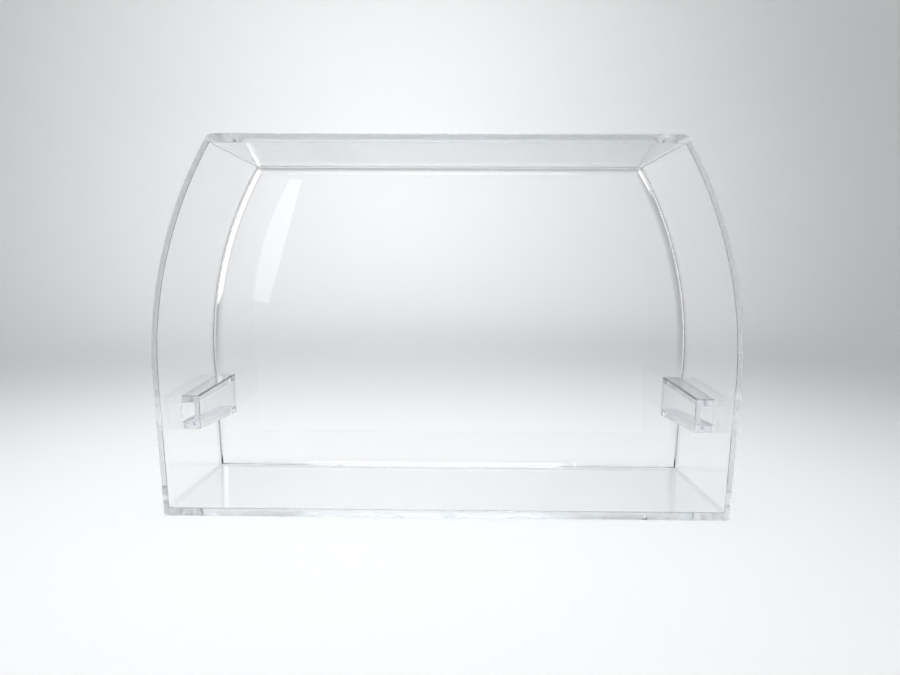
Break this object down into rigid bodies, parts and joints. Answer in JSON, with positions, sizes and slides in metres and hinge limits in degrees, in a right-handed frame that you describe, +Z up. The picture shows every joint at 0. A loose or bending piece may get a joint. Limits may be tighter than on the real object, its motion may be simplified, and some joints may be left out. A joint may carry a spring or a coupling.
{
  "type": "sneeze guard",
  "caption": "Clear open-fronted guard: a flat shield with a flat top and base, bowed end walls, and a tapered guide channel on each end wall that slides over a host lug.",
  "frame": {"origin": "centre of the underside of the guard, midway between the rim plane and the shield's back face", "axes": "+X along the width, towards the right end wall as seen from the open side; +Y from the open side to the shield; +Z up"},
  "size_m": [0.3, 0.079, 0.195],
  "materials": {
    "clear_shield": "clear, glossy, faint blue in its edges",
    "clear_wall": "clear, glossy, faint blue in its edges",
    "clear_guide": "clear, glossy, faint blue in its edges"
  },
  "bodies": {
    "root": {"shield_panel": "clear_shield", "top_panel": "clear_wall", "base_panel": "clear_wall", "left_end_panel": "clear_wall", "right_end_panel": "clear_wall", "left_guide_upper_flange": "clear_guide", "left_guide_web": "clear_guide", "left_guide_lower_flange": "clear_guide", "right_guide_upper_flange": "clear_guide", "right_guide_web": "clear_guide", "right_guide_lower_flange": "clear_guide"}
  },
  "joints": []
}
